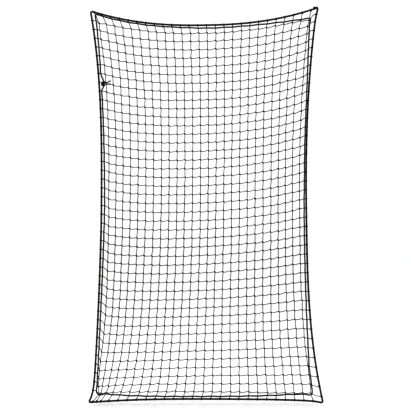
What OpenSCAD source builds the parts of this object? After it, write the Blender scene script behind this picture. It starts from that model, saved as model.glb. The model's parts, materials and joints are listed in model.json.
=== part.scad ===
// Knotted rope-bordered net for the frame of a pitching target.
// X runs to the right, Y away from the pitcher and Z up; the origin is the middle of the panel.

/* [Panel] */
// Width between the bottom corner tips
panel_w = 1278; // [1240:1:1320]
// Height between the right-hand corner tips
panel_h = 2153; // [2100:1:2200]
// How far the middle of the net hangs back from its edges
billow = 22; // [10:1:40]

/* [Netting] */
// Vertical twines
columns = 26; // [24:1:28]
// Horizontal twines
rows = 43; // [41:1:45]
// Diameter of the twine
twine_d = 3.6; // [2:0.1:3.8]
// Sideways pull of the vertical twines at mid height
column_sway = 19; // [10:1:25]
// Lean of the vertical twines towards the bottom left corner
foot_lean = 50; // [30:1:55]
// Extra sag of the horizontal twines in the lower half
row_belly = 27; // [10:1:35]
// How far the first vertical twine stands off the left run
first_ease = 17; // [0:1:18]
// How far the lower left of the netting is drawn in
heel_draw = 20; // [0:1:24]
// How far the lowest horizontal twines drop at the left
toe_drop = 16; // [0:1:20]

/* [Border rope] */
// Diameter of the border rope
rope_d = 10; // [8:0.5:11]
// Sag of the top run
top_sag = 86; // [60:1:100]
// Inward pull of the left run
left_waist = 65; // [50:1:70]
// Inward pull of the right run
right_waist = 78; // [60:1:80]
// Upward bow of the bottom run
bottom_bow = 20; // [10:1:30]
// Distance from each corner tip at which the rope starts to turn
bight_reach = 14; // [12:1:16]

/* [Draw cord] */
// Diameter of the draw cord
cord_d = 7; // [5:0.5:7]
// Length of each loose tail of the draw cord
tail_l = 40; // [38:1:50]
// Diameter of each tail
tail_d = 6; // [5:0.5:6]
// Half height of the knot
knot_half = 14; // [12:1:16]
// Largest radius of the knot
knot_r = 11; // [9:0.5:11]

/* [Hidden] */
half_w = panel_w / 2;
half_h = panel_h / 2;
twine_r = twine_d / 2;
rope_r = rope_d / 2;
cord_r = cord_d / 2;
tail_r = tail_d / 2;
fit_gap = 0.3;              // between pieces that touch on the real net
layer = twine_r + 0.2;      // the two layers of twine sit this far each side of the net's surface
band = 4;                   // horizontal twines kept together in one node
column_steps = 20;          // straight lengths along a vertical twine
row_steps = 12;             // straight lengths along a horizontal twine
run_steps = 44;             // straight lengths along one run of the border rope
twine_sides = 4;
rope_sides = 8;
cord_sides = 6;
edge_mesh = 0.86;           // the outermost meshes are this much of a full one

// Corner tips of the border rope, and the corners of the draw cord inside them, as X and Z
tip_tl = [12 - half_w, half_h - 19];
tip_tr = [half_w - 26, half_h];
tip_bl = [-half_w, 3 - half_h];
tip_br = [half_w, -half_h];
turn_tl = [40 - half_w, half_h - 40];
turn_tr = [half_w - 72, half_h - 59];
turn_bl = [60 - half_w, 51 - half_h];
turn_br = [half_w - 67, 54 - half_h];
turn_heel = turn_bl - [16, 0];  // where the left side of the cord would meet its bottom side

// How far the draw cord pulls the netting's own corners, and over how many meshes that dies away
gather_tl = [6, -9];
gather_tr = [-2, -20];
gather_bl = [44, -2];
gather_br = [-11, 6];
gather_meshes = 1;

// Where the first and last twine is made fast on each run, as a fraction of the run
top_from = 0.0115;
top_to = 0.968;
bottom_from = -0.033;
bottom_to = 0.958;
left_from = 0.0245;
left_to = 0.969;
right_from = 0.015;
right_to = 0.983;
right_lift = 0.015;         // the hitches on the right run ride up this much
ear_room = 0.0175;          // no hitch sits closer to a tip than this

// The free end of the border rope, a little thinner where its strands are drawn together
end_r = rope_r * 0.8;
end_step = 8;               // a third of its length
end_offset = 4;             // how far in from the tip it starts
end_droop = 0.4;            // how much each third of it drops

// Hitch of lashing twine round the border rope
hitch_wire = 1.2;
hitch_r = rope_r + fit_gap + hitch_wire;
hitch_reach = hitch_r + hitch_wire + fit_gap;

// How far each side of the draw cord bows between its corners
cord_top_sag = 62;
cord_bottom_sag = 17;
cord_left_waist = 46;
cord_right_waist = 33;

// The draw cord passes in front of one twine and behind the next
weave = layer + twine_r + cord_r + fit_gap;
weave_flat = 8;             // half length of the flat stretch beside each twine
corner_flat = 0.5;          // how much longer it is where the cord turns a corner
rope_clear = rope_r + cord_r + 0.8;     // least distance along a twine from the rope to the cord,
slant_clear = rope_clear + 3;           // and more of it where the twines leave the rope at a slant
knot_clear = twine_r + cord_r + 2;      // least distance between the cord and the first crossing
knot_row = 7;               // the knot lies over this horizontal twine
knot_front = knot_r + 4;    // how far the knot sits in front of the net
knot_pull = [12, -8];       // how far the knot is drawn in and down from the line of the cord
knot_lead = 5;              // straight stretch of cord above and below the knot
tail_socket = tail_r + fit_gap;
tail_out = 36;              // both tails point this many degrees towards the front
upper_tail_height = 4.5;    // height of the upper tail's root above the middle of the knot
upper_tail_rise = 16;       // degrees the upper tail climbs at rest
lower_tail_height = -3.5;
lower_tail_rise = 0;

rope_colour = "#141414";
twine_colour = "#2b2b2b";
cord_colour = "#1b1b1b";

function two(n) = n < 10 ? str("0", n) : str(n);
function column_name(i) = str("vertical_twine_", two(i + 1));
function band_name(b) = str("horizontal_twines_", two(b + 1));
bands = ceil(rows / band);
sides = ["top", "bottom", "left", "right"];
corners = ["top_left", "top_right", "bottom_left", "bottom_right"];

function unit(v) = v / norm(v);
function mix(a, b, t) = a + (b - a) * t;

// A curve from tip a to tip b. It bows by bow towards inward, with its own power on each half,
// and flare is the part of the bow that is taken up close to the tip.
function bowed(a, b, f, bow, inward, power, flare = [0, 0]) =
    let (
        k = f < 0.5 ? 0 : 1,
        from_tip = (k == 0 ? f : 1 - f) * norm(b - a),
        ear = flare[k] * (1 - exp(-max(from_tip, 0) / 40))
    )
    mix(a, b, f) + inward * ((bow - flare[k]) * (1 - pow(abs(2 * f - 1), power[k])) + ear);

function top_run(f) = bowed(tip_tl, tip_tr, f, top_sag, [0, -1], [2.4, 2.4]);
function bottom_run(f) = bowed(tip_bl, tip_br, f, bottom_bow, [0, 1], [2.5, 2.5], [0, 10]);
function left_run(f) = bowed(tip_tl, tip_bl, f, left_waist, [1, 0], [3, 1.6], [0, 26]);
function right_run(f) = bowed(tip_tr, tip_br, f, right_waist, [-1, 0], [2.2, 3], [9, 0]);
function run_point(side, f) =
    side == "top" ? top_run(f) : side == "bottom" ? bottom_run(f)
    : side == "left" ? left_run(f) : right_run(f);

function top_at(i) = mix(top_from, top_to, i / (columns - 1));
function bottom_at(i) = mix(bottom_from, bottom_to, i / (columns - 1));
function left_at(j) = mix(left_from, left_to, j / (rows - 1));
function right_at(j) =
    let (t = j / (rows - 1))
    mix(right_from, right_to, t) - right_lift * pow(sin(180 * min(1, max(0, t))), 0.8);
function fraction(side, n) =
    side == "top" ? top_at(n) : side == "bottom" ? bottom_at(n)
    : side == "left" ? left_at(n) : right_at(n);

// Hitch n on a run, kept out of the ears at the tips
function hitch_at(side, n) = max(fraction(side, n), ear_room * (n + 1));
function hitch_count(side) = side == "top" || side == "bottom" ? columns : rows;
function hitch_point(side, n) = run_point(side, hitch_at(side, n));

// A corner of the netting, between the ends of the two runs that meet there
function net_corner(side_a, n_a, side_b, n_b) =
    (run_point(side_a, fraction(side_a, n_a)) + run_point(side_b, fraction(side_b, n_b))) / 2;

// The pull on the netting near one of its corners, i and j meshes away from it
function gathered(pull, i, j) = pull * exp(-(max(i, 0) + max(j, 0)) / gather_meshes);

// Where vertical twine i crosses horizontal twine j; both may be fractions. The even net between
// the four runs is pulled about by six smooth humps, each with a peak of 1 times its own value.
belly_down = 9.5;           // brings the peak of b * b * b * (1 - b) to 1
belly_over = 2.6;           // brings the peak of sqrt(a) * (1 - a) to 1
function crossing(i, j) =
    let (
        a = (i + edge_mesh) / (columns - 1 + 2 * edge_mesh),
        b = (j + edge_mesh) / (rows - 1 + 2 * edge_mesh),
        i_end = columns - 1 + edge_mesh,
        j_end = rows - 1 + edge_mesh,
        tl = net_corner("left", -edge_mesh, "top", -edge_mesh),
        tr = net_corner("right", -edge_mesh, "top", i_end),
        bl = net_corner("left", j_end, "bottom", -edge_mesh),
        br = net_corner("right", j_end, "bottom", i_end),
        between_sides = mix(left_run(left_at(j)), right_run(right_at(j)), a),
        between_ends = mix(top_run(top_at(i)), bottom_run(bottom_at(i)), b),
        patch = between_sides + between_ends - mix(mix(tl, tr, a), mix(bl, br, a), b),
        sway = column_sway * sin(180 * b) * min(1, 24 * a) * min(1, 6 * (1 - a)),
        lean = foot_lean * pow(b, 8) * min(1, 6 * a) * (1 - a),
        belly = row_belly * belly_down * pow(b, 3) * (1 - b) * belly_over * sqrt(a) * (1 - a),
        ease = first_ease * pow(sin(180 * b), 0.4) * exp(-0.7 * i),
        heel = heel_draw * pow(sin(180 * pow(b, 3)), 2) * exp(-i / 4),
        toe = toe_drop * pow(sin(180 * pow(b, 8)), 2) * pow(1 - a, 2),
        from_right = columns - 1 - i,
        from_foot = rows - 1 - j
    )
    patch + [sway + ease + heel - lean, -belly - toe]
        + gathered(gather_tl, i, j) + gathered(gather_tr, from_right, j)
        + gathered(gather_bl, i, from_foot / 2) + gathered(gather_br, from_right, from_foot);

// Stands a point of the flat layout up on the billowed surface, off in front of or behind it
function on_net(p, off = 0) =
    [p.x, off + billow * (1 - pow(p.x / half_w, 2)) * (1 - pow(p.y / half_h, 2)), p.y];

// Rings of a tube along a path, then its triangles
function ring(path, k, r, n, ends) =
    let (
        last = len(path) - 1,
        free = path[min(k + 1, last)] - path[max(k - 1, 0)],
        t = unit(k == 0 && ends[0] ? ends[0] : k == last && ends[1] ? ends[1] : free),
        across = unit(cross([0, 1, 0], t)),
        out = cross(t, across)
    )
    [for (s = [0:n - 1])
        let (turn = 360 * (s + 0.5) / n)
        path[k] + r * (cos(turn) * across + sin(turn) * out)];
function tube_points(path, r, n, ends = [false, false]) =
    [for (k = [0:len(path) - 1]) each ring(path, k, r, n, ends)];
function tube_faces(rings, n, start = 0) = concat(
    [for (k = [0:rings - 2], s = [0:n - 1])
        let (
            a = start + k * n + s,
            b = start + k * n + (s + 1) % n
        )
        each [[a, a + n, b], [b, a + n, b + n]]],
    [for (s = [1:n - 2])
        let (foot = start, head = start + (rings - 1) * n)
        each [[foot, foot + s, foot + s + 1], [head, head + s + 1, head + s]]]
);

// One solid tube for each path; all the paths have the same number of points
module tubes(paths, r, n) {
    rings = len(paths[0]);
    polyhedron(
        points = [for (p = paths) each tube_points(p, r, n)],
        faces = [for (k = [0:len(paths) - 1]) each tube_faces(rings, n, k * rings * n)]
    );
}

module tube(path, r, n, ends = [false, false]) {
    polyhedron(points = tube_points(path, r, n, ends), faces = tube_faces(len(path), n));
}

// The end of a twine, just short of the hitch that holds it
function twine_end(side, n, inner) =
    let (h = hitch_point(side, n))
    h + unit(inner - h) * hitch_reach;

function column_path(i) =
    let (first = crossing(i, 0), last = crossing(i, rows - 1))
    concat(
        [on_net(twine_end("top", i, first), -layer)],
        [for (k = [0:column_steps]) on_net(crossing(i, (rows - 1) * k / column_steps), -layer)],
        [on_net(twine_end("bottom", i, last), -layer)]
    );
function row_path(j) =
    let (first = crossing(0, j), last = crossing(columns - 1, j))
    concat(
        [on_net(twine_end("left", j, first), layer)],
        [for (k = [0:row_steps]) on_net(crossing((columns - 1) * k / row_steps, j), layer)],
        [on_net(twine_end("right", j, last), layer)]
    );

module vertical_twine(i) {
    color(twine_colour) tube(column_path(i), twine_r, twine_sides);
}

module horizontal_twines(b) {
    first = b * band;
    last = min(first + band, rows) - 1;
    color(twine_colour) tubes([for (j = [first:last]) row_path(j)], twine_r, twine_sides);
}

// A run of the border rope starts and stops where the bights at its two tips take over
function run_start(side) =
    bight_reach / norm(run_point(side, 1) - run_point(side, 0));
function closer_at_tips(t) = t * t * (3 - 2 * t);
function run_path(side) =
    let (f0 = run_start(side))
    [for (k = [0:run_steps])
        on_net(run_point(side, mix(f0, 1 - f0, closer_at_tips(k / run_steps))))];

module border_rope(side) {
    path = run_path(side);
    tip_a = on_net(run_point(side, 0));
    tip_b = on_net(run_point(side, 1));
    color(rope_colour)
        tube(path, rope_r, rope_sides, [path[0] - tip_a, tip_b - path[run_steps]]);
}

// The sharp turn of the rope at a corner, which a hook or a tie goes through
module corner_bight(corner) {
    ends = corner == "top_left" ? ["left", 0, "top", 0]
        : corner == "top_right" ? ["top", 1, "right", 0]
        : corner == "bottom_left" ? ["bottom", 0, "left", 1]
        : ["right", 1, "bottom", 1];
    a = on_net(run_point(ends[0], abs(ends[1] - run_start(ends[0]))));
    b = on_net(run_point(ends[2], abs(ends[3] - run_start(ends[2]))));
    tip = on_net(run_point(ends[0], ends[1]));
    steps = 6;
    path = [for (k = [0:steps]) let (t = k / steps) mix(mix(a, tip, t), mix(tip, b, t), t)];
    color(rope_colour) tube(path, rope_r, rope_sides, [tip - a, b - tip]);
}

// The loop of lashing twine that ties each twine's end to the border rope
module hitches(side) {
    color(rope_colour)
        for (n = [0:hitch_count(side) - 1]) {
            f = hitch_at(side, n);
            along = run_point(side, f + 0.002) - run_point(side, f - 0.002);
            translate(on_net(run_point(side, f)))
                rotate([0, atan2(along.x, along.y), 0])
                    rotate_extrude($fn = 24)
                        translate([hitch_r, 0]) circle(r = hitch_wire, $fn = 16);
        }
}

// The free end of the border rope, laid back in front of the top run beside its last tip
module rope_end() {
    tip = on_net(tip_tr);
    front = rope_r + end_r + fit_gap;
    path = [for (k = [0:3])
        tip + [-end_offset - end_step * k, -front, -1 - end_droop * k]];
    color(rope_colour) tube(path, end_r, rope_sides);
}

function cord_top(f) = bowed(turn_tl, turn_tr, f, cord_top_sag, [0, -1], [2.4, 1.5]);
function cord_bottom(f) = bowed(turn_bl, turn_br, f, -cord_bottom_sag, [0, 1], [3, 3]);
function cord_left(f) = bowed(turn_tl, turn_heel, f, cord_left_waist, [1, 0], [2.4, 1.3]);
function cord_right(f) = bowed(turn_tr, turn_br, f, cord_right_waist, [-1, 0], [1.4, 1.9]);

// Where the draw cord crosses the end of a twine, between its hitch and its first crossing
function cord_crossing(side, n) =
    let (
        upright = side == "left" || side == "right",
        h = hitch_point(side, n),
        c = side == "left" ? crossing(0, n) : side == "right" ? crossing(columns - 1, n)
            : side == "top" ? crossing(n, 0) : crossing(n, rows - 1),
        down = (turn_tl.y - h.y) / (turn_tl.y - turn_bl.y),
        over = (h.x - turn_tl.x) / (turn_tr.x - turn_tl.x),
        target = side == "left" ? cord_left(down) : side == "right" ? cord_right(down)
            : side == "top" ? cord_top(over) : cord_bottom(over),
        part = upright ? (target.x - h.x) / (c.x - h.x) : (target.y - h.y) / (c.y - h.y),
        leg = norm(c - h)
    )
    mix(h, c, min(max(part, (upright ? rope_clear : slant_clear) / leg), 1 - knot_clear / leg));

// Every crossing in the order in which the cord is threaded, from below the knot round to above it,
// and whether the cord passes it in front (-1) or behind (1). It passes two twines together where
// they meet in a corner.
function in_front(n) = n % 2 == 0 ? -1 : 1;
function side_stop(side, n) = [cord_crossing(side, n), in_front(n)];
function end_stop(side, n) = [cord_crossing(side, n), -in_front(n)];
function shared_stop(side_a, n_a, side_b, n_b) =
    [(cord_crossing(side_a, n_a) + cord_crossing(side_b, n_b)) / 2, -1];
cord_stops = concat(
    [for (j = [knot_row + 1:rows - 1]) side_stop("left", j)],
    [shared_stop("bottom", 0, "bottom", 1)],
    [for (i = [2:columns - 2]) end_stop("bottom", i)],
    [shared_stop("bottom", columns - 1, "right", rows - 1)],
    [for (j = [rows - 2:-1:1]) side_stop("right", j)],
    [shared_stop("right", 0, "top", columns - 1)],
    [for (i = [columns - 2:-1:0]) end_stop("top", i)],
    [for (j = [0:knot_row - 1]) side_stop("left", j)]
);
knot_at = on_net(cord_crossing("left", knot_row) + knot_pull, -knot_front);

// Beside each twine the cord runs flat for a short way, towards the stops before and after it.
// turn is 0 where the cord runs straight on and 1 at a right angle.
function stop_points(k) =
    let (
        last = len(cord_stops) - 1,
        p = cord_stops[k][0],
        depth = weave * cord_stops[k][1],
        before = k > 0 ? cord_stops[k - 1][0] : p + (p - cord_stops[k + 1][0]),
        after = k < last ? cord_stops[k + 1][0] : p + (p - cord_stops[k - 1][0]),
        turn = 1 + unit(before - p) * unit(after - p),
        room = min(weave_flat * (1 + corner_flat * turn), norm(before - p) / 3, norm(after - p) / 3)
    )
    [on_net(p + unit(before - p) * room, depth), on_net(p + unit(after - p) * room, depth)];

module draw_cord() {
    path = concat(
        [knot_at - [0, 0, knot_half], knot_at - [0, 0, knot_half + knot_lead]],
        [for (k = [0:len(cord_stops) - 1]) each stop_points(k)],
        [knot_at + [0, 0, knot_half + knot_lead], knot_at + [0, 0, knot_half]]
    );
    color(cord_colour) tube(path, cord_r, cord_sides, [[0, 0, -1], [0, 0, -1]]);
}

// An overhand bend: a core with three turns of the cord laid round it
module cord_knot() {
    wrap_r = knot_r - cord_r;
    color(cord_colour)
        translate(knot_at) {
            cylinder(r = wrap_r, h = 2 * knot_half, center = true, $fn = 32);
            for (k = [-1:1])
                translate([0, 0, k * (knot_half - cord_r)])
                    rotate_extrude($fn = 32)
                        translate([wrap_r, 0]) circle(r = cord_r, $fn = 16);
        }
}

// A loose tail of the cord, which swings about the rounded end at its root
module tail(height, rise) {
    root = knot_at + [knot_r + tail_socket, 0, height];
    reach = tail_l - tail_r;
    back = [0.95, 0.7, 0.3, 0];     // rings of the rounded end, in radii behind the root
    steps = 4;
    starts = [for (b = back) [-tail_r * b, 0, tail_r * sqrt(1 - b * b)]];
    rest = [for (k = [1:steps]) [reach * k / steps, rise * k / steps, tail_r * 0.9]];
    stations = concat(starts, rest);
    path = [for (p = stations)
        root + p[0] * [cos(p[1]) * cos(tail_out), -cos(p[1]) * sin(tail_out), sin(p[1])]];
    free_ends = [false, false];
    color(cord_colour)
        polyhedron(
            points = [for (k = [0:len(path) - 1])
                each ring(path, k, stations[k][2], rope_sides, free_ends)],
            faces = tube_faces(len(path), rope_sides)
        );
}

module tail_upper() { tail(upper_tail_height, upper_tail_rise); }
module tail_lower() { tail(lower_tail_height, lower_tail_rise); }

for (i = [0:columns - 1])
    vertical_twine(i);
for (b = [0:bands - 1])
    horizontal_twines(b);
for (s = sides) {
    border_rope(s);
    hitches(s);
}
for (c = corners)
    corner_bight(c);
rope_end();
draw_cord();
cord_knot();
tail_upper();
tail_lower();
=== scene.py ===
import json
import math
import random

import bmesh
import bpy
from mathutils import Matrix, Vector

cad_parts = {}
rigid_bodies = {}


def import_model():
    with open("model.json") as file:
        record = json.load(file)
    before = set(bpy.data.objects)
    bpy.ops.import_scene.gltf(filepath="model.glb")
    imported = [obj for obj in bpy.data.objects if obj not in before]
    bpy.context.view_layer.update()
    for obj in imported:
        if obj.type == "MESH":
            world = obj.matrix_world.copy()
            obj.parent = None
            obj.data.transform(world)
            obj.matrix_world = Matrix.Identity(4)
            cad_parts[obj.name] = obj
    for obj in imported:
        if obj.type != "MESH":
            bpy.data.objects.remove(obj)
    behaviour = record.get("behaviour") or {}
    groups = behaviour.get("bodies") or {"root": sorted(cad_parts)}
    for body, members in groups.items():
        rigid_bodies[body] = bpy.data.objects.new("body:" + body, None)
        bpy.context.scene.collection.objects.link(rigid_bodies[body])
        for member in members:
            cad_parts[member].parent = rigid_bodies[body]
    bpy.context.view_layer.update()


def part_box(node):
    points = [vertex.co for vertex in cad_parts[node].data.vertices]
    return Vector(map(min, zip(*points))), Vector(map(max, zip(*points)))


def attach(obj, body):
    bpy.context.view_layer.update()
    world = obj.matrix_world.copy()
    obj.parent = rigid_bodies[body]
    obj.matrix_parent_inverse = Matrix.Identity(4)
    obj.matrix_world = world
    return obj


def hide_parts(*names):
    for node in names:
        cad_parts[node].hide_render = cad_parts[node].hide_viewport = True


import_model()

MM = 0.001
random.seed(43)

# ---- sizes in millimetres, as on the net itself ----

panel_w, panel_h, billow = 1278, 2153, 22
half_w, half_h = panel_w / 2, panel_h / 2
columns, rows = 26, 43
twine_r, rope_r, cord_r, tail_r = 1.8, 5.0, 3.5, 3.0
band = 4                # horizontal twines in one frame node
edge_mesh = 0.86        # the outermost meshes are this much of a full one

column_sway, foot_lean, row_belly = 19, 50, 27
belly_down = 9.5        # brings the peak of b * b * b * (1 - b) to 1
belly_over = 2.6        # brings the peak of sqrt(a) * (1 - a) to 1
first_ease, heel_draw, toe_drop = 17, 20, 16
top_sag, left_waist, right_waist, bottom_bow = 86, 65, 78, 20
bight_reach = 14        # distance from each corner tip at which the rope starts to turn

# Corner tips of the border rope, and the corners of the draw cord inside them, as X and Z
tip_tl = Vector((12 - half_w, half_h - 19))
tip_tr = Vector((half_w - 26, half_h))
tip_bl = Vector((-half_w, 3 - half_h))
tip_br = Vector((half_w, -half_h))
turn_tl = Vector((40 - half_w, half_h - 40))
turn_tr = Vector((half_w - 72, half_h - 59))
turn_bl = Vector((60 - half_w, 51 - half_h))
turn_br = Vector((half_w - 67, 54 - half_h))
turn_heel = turn_bl - Vector((16, 0))

# How far the draw cord pulls the netting's own corners
gather_tl, gather_tr = Vector((6, -9)), Vector((-2, -20))
gather_bl, gather_br = Vector((44, -2)), Vector((-11, 6))

# Where the first and last twine is made fast on each run, as a fraction of the run
made_fast = {
    "top": (0.0115, 0.968), "bottom": (-0.033, 0.958),
    "left": (0.0245, 0.969), "right": (0.015, 0.983),
}
right_lift, ear_room = 0.015, 0.0175
cord_top_sag, cord_bottom_sag, cord_left_waist, cord_right_waist = 62, 17, 46, 33
knot_row, knot_half, knot_r = 7, 14, 11

UP, DOWN = Vector((0, 1)), Vector((0, -1))
RIGHT, LEFT = Vector((1, 0)), Vector((-1, 0))
SIDES = ("top", "bottom", "left", "right")
CORNERS = ("top_left", "top_right", "bottom_left", "bottom_right")


# ---- the lie of the net ----

def mix(a, b, t):
    return a + (b - a) * t


def bowed(a, b, f, bow, inward, power, flare=(0, 0)):
    """A curve from tip a to tip b that bows inward, with its own power on each half."""
    k = 0 if f < 0.5 else 1
    from_tip = (f if k == 0 else 1 - f) * (b - a).length
    ear = flare[k] * (1 - math.exp(-max(from_tip, 0) / 40))
    return mix(a, b, f) + inward * ((bow - flare[k]) * (1 - abs(2 * f - 1) ** power[k]) + ear)


def run_point(side, f):
    """A point of the border rope, f of the way along one side."""
    if side == "top":
        return bowed(tip_tl, tip_tr, f, top_sag, DOWN, (2.4, 2.4))
    if side == "bottom":
        return bowed(tip_bl, tip_br, f, bottom_bow, UP, (2.5, 2.5), (0, 10))
    if side == "left":
        return bowed(tip_tl, tip_bl, f, left_waist, RIGHT, (3, 1.6), (0, 26))
    return bowed(tip_tr, tip_br, f, right_waist, LEFT, (2.2, 3), (9, 0))


def count(side):
    return columns if side in ("top", "bottom") else rows


def fraction(side, n):
    """How far along its side twine n would be made fast, were it not for the ears."""
    t = n / (count(side) - 1)
    f = mix(*made_fast[side], t)
    if side == "right":
        f -= right_lift * math.sin(math.pi * min(1, max(0, t))) ** 0.8
    return f


def hitch_fraction(side, n):
    return max(fraction(side, n), ear_room * (n + 1))


def hitch_point(side, n):
    return run_point(side, hitch_fraction(side, n))


def net_corner(side_a, n_a, side_b, n_b):
    a = run_point(side_a, fraction(side_a, n_a))
    b = run_point(side_b, fraction(side_b, n_b))
    return (a + b) / 2


i_end, j_end = columns - 1 + edge_mesh, rows - 1 + edge_mesh
corner_tl = net_corner("left", -edge_mesh, "top", -edge_mesh)
corner_tr = net_corner("right", -edge_mesh, "top", i_end)
corner_bl = net_corner("left", j_end, "bottom", -edge_mesh)
corner_br = net_corner("right", j_end, "bottom", i_end)


def gathered(pull, i, j):
    """The pull on the netting near one of its corners, i and j meshes away from it."""
    return pull * math.exp(-(max(i, 0) + max(j, 0)))


def crossing(i, j):
    """Where vertical twine i crosses horizontal twine j; both may be fractions."""
    a = (i + edge_mesh) / (columns - 1 + 2 * edge_mesh)
    b = (j + edge_mesh) / (rows - 1 + 2 * edge_mesh)
    left, right = run_point("left", fraction("left", j)), run_point("right", fraction("right", j))
    top, bottom = run_point("top", fraction("top", i)), run_point("bottom", fraction("bottom", i))
    corners = mix(mix(corner_tl, corner_tr, a), mix(corner_bl, corner_br, a), b)
    patch = mix(left, right, a) + mix(top, bottom, b) - corners
    sway = column_sway * math.sin(math.pi * b) * min(1, 24 * a) * min(1, 6 * (1 - a))
    lean = foot_lean * b ** 8 * min(1, 6 * a) * (1 - a)
    belly = row_belly * belly_down * b ** 3 * (1 - b) * belly_over * math.sqrt(a) * (1 - a)
    ease = first_ease * math.sin(math.pi * b) ** 0.4 * math.exp(-0.7 * i)
    heel = heel_draw * math.sin(math.pi * b ** 3) ** 2 * math.exp(-i / 4)
    toe = toe_drop * math.sin(math.pi * b ** 8) ** 2 * (1 - a) ** 2
    from_right, from_foot = columns - 1 - i, rows - 1 - j
    return (patch + Vector((sway + ease + heel - lean, -belly - toe))
            + gathered(gather_tl, i, j) + gathered(gather_tr, from_right, j)
            + gathered(gather_bl, i, from_foot / 2) + gathered(gather_br, from_right, from_foot))


def on_net(p, off=0):
    """Stands a point of the flat layout up on the billowed net, off in front of or behind it."""
    depth = off + billow * (1 - (p.x / half_w) ** 2) * (1 - (p.y / half_h) ** 2)
    return Vector((p.x, depth, p.y))


# ---- lines ----

def path_length(path):
    return sum((b - a).length for a, b in zip(path, path[1:]))


def twist(path, pitch, start=0.0):
    """Tilt at each point of a path so that the lay turns once every pitch millimetres."""
    tilts, run = [start], 0.0
    for a, b in zip(path, path[1:]):
        run += (b - a).length
        tilts.append(start + 2 * math.pi * run / pitch)
    return tilts


def resampled(path, step):
    """The same path with points an even step apart."""
    total = path_length(path)
    pieces = max(2, round(total / step))
    gap, out, run, k = total / pieces, [path[0].copy()], 0.0, 0
    for n in range(1, pieces):
        want = gap * n
        while run + (path[k + 1] - path[k]).length < want:
            run += (path[k + 1] - path[k]).length
            k += 1
        stretch = path[k + 1] - path[k]
        out.append(path[k] + stretch * ((want - run) / stretch.length))
    out.append(path[-1].copy())
    return out


def rounded(points, per=6):
    """A smooth line through the points (Catmull-Rom), with per steps between two of them."""
    last = len(points) - 1
    out = []
    for k in range(last):
        p0, p1, p2, p3 = points[max(k - 1, 0)], points[k], points[k + 1], points[min(k + 2, last)]
        for s in range(per):
            t = s / per
            out.append(0.5 * ((2 * p1) + (p2 - p0) * t + (2 * p0 - 5 * p1 + 4 * p2 - p3) * t * t
                              + (3 * p1 - p0 - 3 * p2 + p3) * t ** 3))
    out.append(points[-1].copy())
    return out


def strands(path, number, helix_r, pitch, closed=False):
    """Paths of the strands of a laid rope round the path."""
    if closed:
        total = path_length(path + path[:1])
        pitch = total / round(total / pitch)
    n = len(path)
    out = [[] for _ in range(number)]
    run = 0.0
    for k, p in enumerate(path):
        if k:
            run += (p - path[k - 1]).length
        ahead = path[(k + 1) % n] if closed or k + 1 < n else path[k]
        behind = path[k - 1] if closed or k > 0 else path[0]
        along = (ahead - behind).normalized()
        across = Vector((0, 1, 0)).cross(along).normalized()
        outward = along.cross(across)
        for s in range(number):
            turn = 2 * math.pi * (run / pitch + s / number)
            out[s].append(p + helix_r * (math.cos(turn) * across + math.sin(turn) * outward))
    return out


# ---- turning lines into rope, cord and twine ----

def section(name, radius, lobes, hollow):
    """A lobed outline for a laid or braided line; hollow is the depth of the grooves."""
    curve = bpy.data.curves.new(name, "CURVE")
    curve.dimensions = "2D"
    spline = curve.splines.new("POLY")
    points = 2 * lobes
    spline.points.add(points - 1)
    spline.use_cyclic_u = True
    for k in range(points):
        r = radius * MM * (1 if k % 2 == 0 else 1 - hollow)
        turn = 2 * math.pi * k / points
        spline.points[k].co = (r * math.cos(turn), r * math.sin(turn), 0, 1)
    outline = bpy.data.objects.new(name, curve)
    bpy.context.scene.collection.objects.link(outline)
    return outline


def smooth(mesh):
    mesh.polygons.foreach_set("use_smooth", [True] * len(mesh.polygons))
    return mesh


def swept(name, paths, outline, tilts=None, sizes=None, closed=False):
    """Sweeps an outline along paths in millimetres. In the UV map u goes from 0 to 1 round the
    line, and v goes along it in metres, so that lay and braid keep their scale on every piece."""
    curve = bpy.data.curves.new(name, "CURVE")
    curve.dimensions = "3D"
    curve.bevel_mode = "OBJECT"
    curve.bevel_object = outline
    curve.use_fill_caps = not closed
    for n, path in enumerate(paths):
        spline = curve.splines.new("POLY")
        spline.points.add(len(path) - 1)
        spline.use_cyclic_u = closed
        for k, p in enumerate(path):
            spline.points[k].co = (*(p * MM), 1)
            spline.points[k].tilt = tilts[n][k] if tilts else 0
            spline.points[k].radius = sizes[n][k] if sizes else 1
    holder = bpy.data.objects.new(name, curve)
    bpy.context.scene.collection.objects.link(holder)
    bpy.context.view_layer.update()
    depsgraph = bpy.context.evaluated_depsgraph_get()
    mesh = bpy.data.meshes.new_from_object(holder.evaluated_get(depsgraph), depsgraph=depsgraph)
    bpy.data.objects.remove(holder)
    mesh.name = name
    mesh.materials.clear()
    along = path_length(paths[0]) * MM
    bm = bmesh.new()
    bm.from_mesh(mesh)
    uv = bm.loops.layers.uv.active
    for face in bm.faces:
        for loop in face.loops:
            loop[uv].uv.y *= along
    bmesh.ops.remove_doubles(bm, verts=bm.verts, dist=1e-6)
    bmesh.ops.recalc_face_normals(bm, faces=bm.faces)
    bm.to_mesh(mesh)
    bm.free()
    return smooth(mesh)


def copies(name, bases, places):
    """One mesh with a copy of each base at each place."""
    bm = bmesh.new()
    for base in bases:
        for place in places:
            moved = base.copy()
            moved.transform(place)
            bm.from_mesh(moved)
            bpy.data.meshes.remove(moved)
    mesh = bpy.data.meshes.new(name)
    bm.to_mesh(mesh)
    bm.free()
    return smooth(mesh)


def piece(name, mesh, slot_name, body="net", stands_for=()):
    thing = bpy.data.objects.new(name, mesh)
    bpy.context.scene.collection.objects.link(thing)
    mesh.materials.append(finishes[slot_name])
    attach(thing, body)
    if stands_for:
        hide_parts(*stands_for)
    return thing


# ---- materials ----

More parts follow.
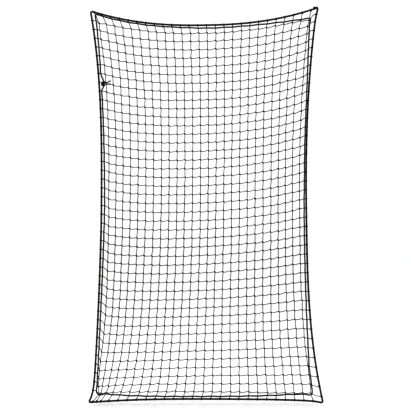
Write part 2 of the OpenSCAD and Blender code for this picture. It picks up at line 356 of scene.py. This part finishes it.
def noise_node(tree, scale, detail):
    """Noise that is fixed to the object."""
    node = tree.nodes.new("ShaderNodeTexNoise")
    node.inputs["Scale"].default_value = scale
    node.inputs["Detail"].default_value = detail
    place = tree.nodes.new("ShaderNodeTexCoord")
    tree.links.new(place.outputs["Object"], node.inputs["Vector"])
    return node.outputs["Fac"]


def maths(tree, operation, *values, clamp=False):
    """A Math node; each value is a number or another node's output."""
    node = tree.nodes.new("ShaderNodeMath")
    node.operation = operation
    node.use_clamp = clamp
    for socket, value in zip(node.inputs, values):
        if isinstance(value, (int, float)):
            socket.default_value = value
        else:
            tree.links.new(value, socket)
    return node.outputs[0]


def colour_mix(tree, factor, a, b):
    """A colour between a and b; each is a plain colour or another node's output."""
    node = tree.nodes.new("ShaderNodeMix")
    node.data_type = "RGBA"
    tree.links.new(factor, node.inputs[0])
    for socket, value in ((node.inputs[6], a), (node.inputs[7], b)):
        if isinstance(value, tuple):
            socket.default_value = value
        else:
            tree.links.new(value, socket)
    return node.outputs[2]


def group_of(name, takes, gives):
    """An empty shader node group, with its own inputs and outputs to link to."""
    tree = bpy.data.node_groups.new(name, "ShaderNodeTree")
    for label, kind, start in takes:
        socket = tree.interface.new_socket(name=label, in_out="INPUT", socket_type=kind)
        socket.default_value = start
    for label, kind in gives:
        tree.interface.new_socket(name=label, in_out="OUTPUT", socket_type=kind)
    return tree, tree.nodes.new("NodeGroupInput").outputs, tree.nodes.new("NodeGroupOutput").inputs


def yarn_lay_group():
    """Fine yarns that run round and along a line: a height and a mask of the grooves."""
    number = "NodeSocketFloat"
    tree, given, result = group_of(
        "yarn lay",
        [("Yarns round", number, 9.0), ("Turns per metre", number, 70.0),
         ("Counter lay", number, 0.0), ("Roughness of lay", number, 0.15)],
        [("Height", number), ("Groove", number)],
    )
    where = tree.nodes.new("ShaderNodeUVMap")
    where.uv_map = "UVMap"
    split = tree.nodes.new("ShaderNodeSeparateXYZ")
    tree.links.new(where.outputs["UV"], split.inputs[0])
    uneven = maths(tree, "SUBTRACT", noise_node(tree, 420.0, 2.0), 0.5)
    wander = maths(tree, "MULTIPLY", uneven, given["Roughness of lay"])
    about = maths(tree, "MULTIPLY", split.outputs["X"], given["Yarns round"])
    along = maths(tree, "MULTIPLY", split.outputs["Y"], given["Turns per metre"])

    def ridges(direction):
        slant = maths(tree, "MULTIPLY", along, direction)
        phase = maths(tree, "ADD", maths(tree, "ADD", about, wander), slant)
        wave = maths(tree, "SINE", maths(tree, "MULTIPLY", phase, 2 * math.pi))
        return maths(tree, "MULTIPLY_ADD", wave, 0.5, 0.5)

    one, other = ridges(1.0), ridges(-1.0)
    blend = tree.nodes.new("ShaderNodeMix")
    tree.links.new(given["Counter lay"], blend.inputs[0])
    tree.links.new(one, blend.inputs[2])
    tree.links.new(maths(tree, "MAXIMUM", one, other), blend.inputs[3])
    tree.links.new(blend.outputs[0], result["Height"])
    groove = maths(tree, "SUBTRACT", 1.0, blend.outputs[0])
    tree.links.new(maths(tree, "POWER", groove, 2.0), result["Groove"])
    return tree


def weathering_group():
    """Uneven dye, and a little pale dust that settles in the grooves."""
    number, colour = "NodeSocketFloat", "NodeSocketColor"
    tree, given, result = group_of(
        "weathering",
        [("Dye", colour, (0.02, 0.02, 0.02, 1)), ("Faded dye", colour, (0.05, 0.05, 0.05, 1)),
         ("Groove", number, 0.0), ("Dust", number, 0.15)],
        [("Color", colour), ("Dustiness", number)],
    )
    broad, fine = noise_node(tree, 6.0, 3.0), noise_node(tree, 160.0, 3.0)
    fade = maths(tree, "MULTIPLY", maths(tree, "MULTIPLY", broad, fine), 2.2, clamp=True)
    dyed = colour_mix(tree, fade, given["Dye"], given["Faded dye"])
    settled = maths(tree, "MULTIPLY", given["Groove"], maths(tree, "MULTIPLY", given["Dust"], fine))
    dust_colour = (0.30, 0.28, 0.25, 1)
    tree.links.new(colour_mix(tree, settled, dyed, dust_colour), result["Color"])
    dull = maths(tree, "ADD", settled, maths(tree, "MULTIPLY", fade, 0.5))
    tree.links.new(dull, result["Dustiness"])
    return tree


yarn_lay = yarn_lay_group()
weathering = weathering_group()


def line_finish(name, dye, faded, yarns, turns, rough, relief, sheen, dust, counter=0.0):
    """Finish of a twine, rope or cord. relief is the depth of its yarns in millimetres."""
    material = bpy.data.materials.new(name)
    material.use_nodes = True
    tree = material.node_tree
    shader = tree.nodes["Principled BSDF"].inputs
    lay = tree.nodes.new("ShaderNodeGroup")
    lay.node_tree = yarn_lay
    lay.inputs["Yarns round"].default_value = yarns
    lay.inputs["Turns per metre"].default_value = turns
    lay.inputs["Counter lay"].default_value = counter
    worn = tree.nodes.new("ShaderNodeGroup")
    worn.node_tree = weathering
    worn.inputs["Dye"].default_value = (*dye, 1)
    worn.inputs["Faded dye"].default_value = (*faded, 1)
    worn.inputs["Dust"].default_value = dust
    tree.links.new(lay.outputs["Groove"], worn.inputs["Groove"])
    tree.links.new(worn.outputs["Color"], shader["Base Color"])
    tree.links.new(maths(tree, "MULTIPLY_ADD", worn.outputs["Dustiness"], 0.35, rough), shader["Roughness"])
    ridge = tree.nodes.new("ShaderNodeBump")
    ridge.inputs["Strength"].default_value = 0.6
    ridge.inputs["Distance"].default_value = relief * MM
    tree.links.new(lay.outputs["Height"], ridge.inputs["Height"])
    tree.links.new(ridge.outputs["Normal"], shader["Normal"])
    shader["Sheen Weight"].default_value = sheen
    shader["Sheen Roughness"].default_value = 0.45
    shader["Specular IOR Level"].default_value = 0.22
    return material


finishes = {
    "twine": line_finish("coated nylon twine", (0.024, 0.024, 0.025), (0.062, 0.062, 0.065),
                         yarns=6, turns=260, rough=0.46, relief=0.3, sheen=0.03, dust=0.14),
    "lashing": line_finish("lashing twine", (0.017, 0.017, 0.018), (0.044, 0.044, 0.046),
                           yarns=6, turns=260, rough=0.5, relief=0.25, sheen=0.03, dust=0.12),
    "rope": line_finish("laid border rope", (0.012, 0.012, 0.013), (0.034, 0.034, 0.035),
                        yarns=8, turns=150, rough=0.58, relief=0.45, sheen=0.05, dust=0.16),
    "cord": line_finish("braided draw cord", (0.014, 0.014, 0.015), (0.040, 0.040, 0.042),
                        yarns=8, turns=120, rough=0.44, relief=0.45, sheen=0.05, dust=0.14, counter=1.0),
}

# ---- camera ----

mm_across = 2237.484    # width of net and margin that the view takes in
lens = bpy.data.cameras.new("camera")
lens.type = "PERSP"
lens.lens = 85
lens.sensor_width = 36
distance = mm_across * lens.lens / lens.sensor_width
camera = bpy.data.objects.new("camera", lens)
camera.location = Vector((-1.1, -distance, -1.4)) * MM
camera.rotation_euler = (math.radians(90), 0, 0)
bpy.context.scene.collection.objects.link(camera)
bpy.context.scene.camera = camera

# ---- the twines ----

twine_outline = section("twine outline", twine_r * 1.06, lobes=3, hollow=0.14)
mesh_steps = 18         # rings of the sweep in one mesh
lay_pitch = 15.0        # one turn of the twine's lay
droop = 1.3             # how far a leg of the mesh hangs between its knots
row_step = 2.3          # a horizontal twine enters a knot this much above its middle
column_step = 0.9       # a vertical twine enters a knot this much left of its middle
knot_part = 0.09        # part of a mesh that the knot takes up on each side
knot_depth = 1.2        # how far each twine stands off the other inside a knot
end_depth = 0.4         # and at the border rope
sink = 0.5              # how far a twine's end reaches under the surface of the rope
held_level = 0.45       # the draw cord holds the last leg level up to this part of it

# No knot of the netting sits quite where it should.
shift = {}
for j in range(-1, rows + 1):
    for i in range(-1, columns + 1):
        inside = 1 if 0 <= i < columns and 0 <= j < rows else 0
        shift[i, j] = Vector((random.gauss(0, 0.7), random.gauss(0, 0.8))) * inside


def knot_point(i, j):
    return crossing(i, j) + shift[i, j]


def end_knot(side, n):
    """The last knot of twine n before that side's rope."""
    if side == "left":
        return knot_point(0, n)
    if side == "right":
        return knot_point(columns - 1, n)
    return knot_point(n, 0) if side == "top" else knot_point(n, rows - 1)


def ease_in_out(t):
    return t * t * (3 - 2 * t)


def leg_offset(t, step):
    """Sideways place of a leg between two knots: below the first one's middle, above the next."""
    if t < knot_part:
        return -step * t / knot_part
    if t > 1 - knot_part:
        return step * (1 - t) / knot_part
    s = (t - knot_part) / (1 - 2 * knot_part)
    return step * (2 * s ** 1.15 - 1)


def last_leg(side, n, t):
    """A point of the last leg of a twine, t of the way from its hitch to its first knot."""
    start, end = hitch_point(side, n), end_knot(side, n)
    p = mix(start, end, t)
    if side in ("left", "right"):
        fall = start.y - end.y
        level = fall * t if t < held_level else fall * held_level * (1 - t) / (1 - held_level)
        p += Vector((0, 0.8 * level))
    return p


def leg_start(side, n):
    """Where the twine comes out of the rope, as a part of its last leg."""
    return (rope_r - sink) / (end_knot(side, n) - hitch_point(side, n)).length


def end_leg(side, n, enters, face, inwards):
    """The last leg of a twine, on the net's back (face 1) or front (-1). It runs to or from the
    rope, and enters is how it meets its first knot."""
    start = leg_start(side, n)
    steps = range(mesh_steps) if inwards else range(mesh_steps, -1, -1)
    return [
        on_net(last_leg(side, n, t) + enters * t ** 3, face * (end_depth + (knot_depth - end_depth) * t))
        for t in (start + (1 - start) * k / mesh_steps for k in steps)
    ]


def row_path(j):
    step = Vector((0, row_step))
    path = end_leg("left", j, step, 1, inwards=True)
    for i in range(columns - 1):
        for k in range(mesh_steps):
            t = k / mesh_steps
            p = crossing(i + t, j) + mix(shift[i, j], shift[i + 1, j], ease_in_out(t))
            fall = leg_offset(t, row_step) - droop * math.sin(math.pi * t)
            path.append(on_net(p + Vector((0, fall)), knot_depth * math.cos(math.pi * t) ** 2))
    last = end_leg("right", j, -step, 1, inwards=False)
    return path + [on_net(knot_point(columns - 1, j), knot_depth)] + last[1:]


def column_path(i):
    step = Vector((column_step, 0))
    path = end_leg("top", i, -step, -1, inwards=True)
    for j in range(rows - 1):
        for k in range(mesh_steps):
            t = k / mesh_steps
            p = crossing(i, j + t) + mix(shift[i, j], shift[i, j + 1], ease_in_out(t))
            aside = -leg_offset(t, column_step)
            path.append(on_net(p + Vector((aside, 0)), -knot_depth * math.cos(math.pi * t) ** 2))
    return path + end_leg("bottom", i, step, -1, inwards=False)


for i in range(columns):
    name = f"vertical_twine_{i + 1:02d}"
    path = column_path(i)
    mesh = swept(name, [path], twine_outline, [twist(path, lay_pitch, i)])
    piece(f"{name}.laid", mesh, "twine", stands_for=[name])
for j in range(rows):
    name = f"horizontal_twine_{j + 1:02d}"
    path = row_path(j)
    mesh = swept(name, [path], twine_outline, [twist(path, lay_pitch, j)])
    piece(name, mesh, "twine", stands_for=[f"horizontal_twines_{j // band + 1:02d}"])

# ---- netting knots: the bight of one twine, with the other drawn round its neck ----


def loop(wide, high, lean, depth, points=8):
    """A closed turn of twine, wide and high, leaning to one side."""
    turn = Matrix.Rotation(math.radians(lean), 3, "Y")
    out = []
    for k in range(points):
        a = 2 * math.pi * k / points
        out.append(turn @ Vector((wide * math.cos(a), depth * math.sin(2 * a), high * math.sin(a))))
    return out


loop_outline = section("knot loop outline", 1.7, lobes=2, hollow=0.0)
bight_loop = loop(wide=4.4, high=2.0, lean=38, depth=1.0)
neck_loop = loop(wide=2.2, high=3.3, lean=-20, depth=1.4)
knot_base = swept("netting knot", [bight_loop, neck_loop], loop_outline, closed=True)

for i in range(columns):
    places = []
    for j in range(rows):
        at = on_net(knot_point(i, j)) * MM
        lean = Matrix.Rotation(math.radians(random.gauss(0, 9)), 4, "Y")
        size = Matrix.Scale(random.gauss(1, 0.05), 4)
        places.append(Matrix.Translation(at) @ lean @ size)
    name = f"mesh_knots_{i + 1:02d}"
    piece(name, copies(name, [knot_base], places), "twine")

# ---- border rope: three strands, laid all the way round ----

run_steps = 240
turn_steps = 8
rope_step = 3.4         # rings of each strand are this far apart
rope_lay = 34           # one turn of the rope's lay
yarn_lay_back = -21     # the yarns of a strand turn the other way


def run_line(side, backwards=False):
    """The rope along one side, between the places where it starts to turn at its corners."""
    margin = bight_reach / (run_point(side, 1) - run_point(side, 0)).length
    line = [on_net(run_point(side, mix(margin, 1 - margin, k / run_steps))) for k in range(run_steps + 1)]
    return line[::-1] if backwards else line


def turn_line(a, tip, b):
    return [
        mix(mix(a, tip, t), mix(tip, b, t), t)
        for t in (k / turn_steps for k in range(1, turn_steps))
    ]


runs = [run_line("top"), run_line("right"), run_line("bottom", True), run_line("left", True)]
rope_line = []
for k, tip in enumerate((tip_tr, tip_br, tip_bl, tip_tl)):
    rope_line += runs[k] + turn_line(runs[k][-1], on_net(tip), runs[(k + 1) % 4][0])

rope_path = resampled(rope_line + rope_line[:1], rope_step)[:-1]
rope_strands = strands(rope_path, 3, 2.5, rope_lay, closed=True)
strand_outline = section("rope strand outline", 2.55, lobes=4, hollow=0.08)
mesh = swept("border_rope", rope_strands, strand_outline,
             [twist(strand, yarn_lay_back) for strand in rope_strands], closed=True)
piece("border_rope", mesh, "rope", stands_for=(
    [f"border_rope_{side}" for side in SIDES] + [f"corner_bight_{corner}" for corner in CORNERS]))

# The rope's free end lies back in front of the top run, whipped so that it can't unlay.
end_line = [on_net(tip_tr) + Vector((-4 - 4 * k, -9.3, -1 - 0.2 * k)) for k in range(7)]
end_path = resampled(rounded(end_line), 2.0)
end_strands = strands(end_path, 3, 2.0, 28)
end_outline = section("rope end strand outline", 2.0, lobes=4, hollow=0.08)
mesh = swept("rope_end", end_strands, end_outline, [twist(strand, -18) for strand in end_strands])
piece("rope_end.laid", mesh, "rope", stands_for=["rope_end"])

whipping_turns, whipping_r, turn_points = 5, 4.3, 8
whipping_line = []
for k in range(whipping_turns * turn_points + 1):
    a = 2 * math.pi * k / turn_points
    wound = Vector((-k / turn_points, whipping_r * math.cos(a), whipping_r * math.sin(a)))
    whipping_line.append(end_path[-4] + wound)
wire_outline = section("lashing wire outline", 0.55, lobes=2, hollow=0.0)
piece("rope_end_whipping", swept("rope_end_whipping", [whipping_line], wire_outline), "lashing")

# ---- hitches that lash the netting to the rope ----

hitch_points, hitch_turn_points = 19, 9
hitch_wide, hitch_r = 3.0, 6.0
pinch_drop = 6.9        # the pinched loop sits this far out from the middle of the rope
hitch_outline = section("hitch outline", 1.1, lobes=2, hollow=0.0)

# Two turns round the rope, and a pinched loop on the net's side of it
hitch_line = []
for k in range(hitch_points):
    a = 2 * math.pi * k / hitch_turn_points
    along = hitch_wide * (k / (hitch_points - 1) - 0.5)
    hitch_line.append(Vector((along, hitch_r * math.sin(a), -hitch_r * math.cos(a))))
pinch_line = [p - Vector((0, 0, pinch_drop)) for p in loop(wide=2.3, high=1.3, lean=15, depth=1.6, points=7)]
hitch_base = swept("hitch", [hitch_line], hitch_outline)
pinch_base = swept("hitch pinch", [pinch_line], hitch_outline, closed=True)


def first_crossing(side, n):
    if side == "left":
        return crossing(0, n)
    if side == "right":
        return crossing(columns - 1, n)
    return crossing(n, 0) if side == "top" else crossing(n, rows - 1)


def hitch_place(side, n):
    """Turns a hitch so that X runs along the rope and -Z points at the netting."""
    f = hitch_fraction(side, n)
    at = on_net(run_point(side, f))
    along = (on_net(run_point(side, f + 0.002)) - on_net(run_point(side, f - 0.002))).normalized()
    inner = on_net(first_crossing(side, n)) - at
    outward = -(inner - inner.dot(along) * along).normalized()
    place = Matrix((along, outward.cross(along), outward)).transposed().to_4x4()
    place.translation = at * MM
    return place @ Matrix.Rotation(random.gauss(0, 0.12), 4, "Z")


for side in SIDES:
    places = [hitch_place(side, n) for n in range(count(side))]
    name = f"hitches_{side}"
    piece(f"{name}.tied", copies(name, [hitch_base, pinch_base], places), "lashing", stands_for=[name])

# ---- draw cord ----

cord_weave = 5.3        # the cord stands this far in front of or behind each twine it passes
rope_clear = rope_r + cord_r + 0.8
slant_clear = rope_clear + 3    # the twines leave the top and bottom runs at a slant
knot_clear = twine_r + cord_r + 2
cord_step = 2.8         # rings of the cord are this far apart
knot_step = 2.4         # and these in its knot and tails


def cord_target(side, start):
    """Where the cord would cross the line of the twine that is made fast at start."""
    down = (turn_tl.y - start.y) / (turn_tl.y - turn_bl.y)
    over = (start.x - turn_tl.x) / (turn_tr.x - turn_tl.x)
    if side == "left":
        return bowed(turn_tl, turn_heel, down, cord_left_waist, RIGHT, (2.4, 1.3)).x
    if side == "right":
        return bowed(turn_tr, turn_br, down, cord_right_waist, LEFT, (1.4, 1.9)).x
    if side == "top":
        return bowed(turn_tl, turn_tr, over, cord_top_sag, DOWN, (2.4, 1.5)).y
    return bowed(turn_bl, turn_br, over, -cord_bottom_sag, UP, (3, 3)).y


def cord_crossing(side, n):
    """Where the draw cord passes the end of a twine, between its hitch and its first knot."""
    start, end = hitch_point(side, n), end_knot(side, n)
    axis, clear = (0, rope_clear) if side in ("left", "right") else (1, slant_clear)
    part = (cord_target(side, start) - start[axis]) / (end[axis] - start[axis])
    leg = (end - start).length
    return last_leg(side, n, min(max(part, clear / leg), 1 - knot_clear / leg))


def in_front(n):
    return -1 if n % 2 == 0 else 1


def shared(side_a, n_a, side_b, n_b):
    """Two twines that meet in a corner are passed together."""
    return ((cord_crossing(side_a, n_a) + cord_crossing(side_b, n_b)) / 2, -1)


cord_stops = (
    [(cord_crossing("left", j), in_front(j)) for j in range(knot_row + 1, rows)]
    + [shared("bottom", 0, "bottom", 1)]
    + [(cord_crossing("bottom", i), -in_front(i)) for i in range(2, columns - 1)]
    + [shared("bottom", columns - 1, "right", rows - 1)]
    + [(cord_crossing("right", j), in_front(j)) for j in range(rows - 2, 0, -1)]
    + [shared("right", 0, "top", columns - 1)]
    + [(cord_crossing("top", i), -in_front(i)) for i in range(columns - 2, -1, -1)]
    + [(cord_crossing("left", j), in_front(j)) for j in range(knot_row)]
)

low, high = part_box("cord_knot")
knot_at = Vector([(a + b) / 2 / MM for a, b in zip(low, high)])
into_knot, out_of_knot = Vector((0, 0, knot_half - 2)), Vector((0, 0, knot_half + 5))
cord_line = [knot_at - into_knot, knot_at - out_of_knot]
cord_line += [on_net(p, side * cord_weave) for p, side in cord_stops]
cord_line += [knot_at + out_of_knot, knot_at + into_knot]

braid_strands = 8
cord_outline = section("cord outline", cord_r, lobes=braid_strands, hollow=0.09)


def braid(path):
    """Every other ring is turned by half a strand, so that the strands cross as in a braid."""
    return [math.pi / braid_strands * (k % 2) for k in range(len(path))]


cord_path = resampled(rounded(cord_line, 10), cord_step)
mesh = swept("draw_cord", [cord_path], cord_outline, [braid(cord_path)])
piece("draw_cord.braided", mesh, "cord", stands_for=["draw_cord"])

# The two ends of the cord are joined in an overhand bend: both are wrapped together round their own
# standing parts and pulled tight.
wrap_points, wrap_turn_points, wrap_r, wrap_slant = 49, 15, 7.0, 1.8
wraps = []
for k in range(wrap_points):
    a = 2 * math.pi * k / wrap_turn_points
    height = (knot_half - cord_r) * (2 * k / (wrap_points - 1) - 1)
    wraps.append(Vector((wrap_r * math.cos(a), wrap_r * math.sin(a), height + wrap_slant * math.sin(a))))
lead_in = [Vector((0, 0, -knot_half - 1)), Vector((2, 1, -knot_half + 1))]
lead_out = [Vector((-2, 1, knot_half - 1)), Vector((0, 0, knot_half + 1))]
over_turn = [
    Vector((-5, -5, -11)), Vector((-8.5, -6.5, -5)), Vector((-6, -9.5, 1)), Vector((1, -10.5, 4)),
    Vector((7, -8, 6)), Vector((8.5, -1, 9)), Vector((3, 4, 11)),
]
heart = [knot_at + Vector((0, 0, -knot_half + 1 + 2 * k)) for k in range(14)]
for name, path in (
    ("cord_knot.turns", resampled(rounded([knot_at + p for p in lead_in + wraps + lead_out], 3), knot_step)),
    ("cord_knot.over", resampled(rounded([knot_at + p for p in over_turn], 6), knot_step)),
    ("cord_knot.heart", heart),
):
    piece(name, swept(name, [path], cord_outline, [braid(path)]), "cord", stands_for=["cord_knot"])

# ---- loose tails of the cord ----

tail_outline = section("tail outline", tail_r, lobes=braid_strands, hollow=0.09)
tail_l, tail_out = 40, math.radians(36)     # both tails point this far towards the front
tail_points, tail_start = 8, -2.5
root_ends, tip_ends = [0.55, 0.9], [0.97, 0.7]      # the ends are drawn in and sealed
for name, height, rise, curl in (("tail_upper", 4.5, 16, 0.88), ("tail_lower", -3.5, 0, -0.64)):
    root = knot_at + Vector((knot_r + tail_r + 0.3, 0, height))
    line = []
    for k in range(tail_points + 1):
        t = k / tail_points
        climb = math.radians(rise * t)
        way = Vector((math.cos(climb) * math.cos(tail_out), -math.cos(climb) * math.sin(tail_out),
                      math.sin(climb)))
        along = tail_start + (tail_l - tail_r) * t
        line.append(root + along * way + Vector((0, 0, curl * math.sin(math.pi * t))))
    path = resampled(rounded(line, 4), knot_step)
    sizes = root_ends + [1.0] * (len(path) - 4) + tip_ends
    mesh = swept(name, [path], tail_outline, [braid(path)], [sizes])
    thing = piece(f"{name}.braided", mesh, "cord", body=name, stands_for=[name])

# ---- floor and light ----

view = bpy.context.scene.view_settings
view.view_transform = "Standard"
view.gamma = 0.5        # keeps lines of twine that are thinner than they are far away from fading

floor_gap, floor_half = 16, 30      # millimetres under the lowest tip, and metres
floor_mesh = bpy.data.meshes.new("floor")
bm = bmesh.new()
bmesh.ops.create_grid(bm, x_segments=1, y_segments=1, size=floor_half,
                      matrix=Matrix.Translation((0, 0, (-half_h - floor_gap) * MM)))
bm.to_mesh(floor_mesh)
bm.free()
floor = bpy.data.objects.new("floor", floor_mesh)
bpy.context.scene.collection.objects.link(floor)
pale = bpy.data.materials.new("pale floor")
pale.use_nodes = True
pale.node_tree.nodes["Principled BSDF"].inputs["Base Color"].default_value = (0.96, 0.96, 0.96, 1)
pale.node_tree.nodes["Principled BSDF"].inputs["Roughness"].default_value = 0.9
floor_mesh.materials.append(pale)

world = bpy.data.worlds.new("studio")
bpy.context.scene.world = world
world.use_nodes = True
world.node_tree.nodes["Background"].inputs["Color"].default_value = (1, 1, 1, 1)
world.node_tree.nodes["Background"].inputs["Strength"].default_value = 1.05

for label, place, power in (("key light", (-2.2, -3.2, 2.6), 60), ("fill light", (2.8, -2.6, 1.0), 25)):
    lamp = bpy.data.lights.new(label, "AREA")
    lamp.shape = "DISK"
    lamp.size = 2.4
    lamp.energy = power
    light = bpy.data.objects.new(label, lamp)
    light.location = place
    light.rotation_euler = (-Vector(place)).to_track_quat("-Z", "Y").to_euler()
    bpy.context.scene.collection.objects.link(light)

for outline in [o for o in bpy.data.objects if o.name.endswith("outline")]:
    bpy.data.objects.remove(outline)
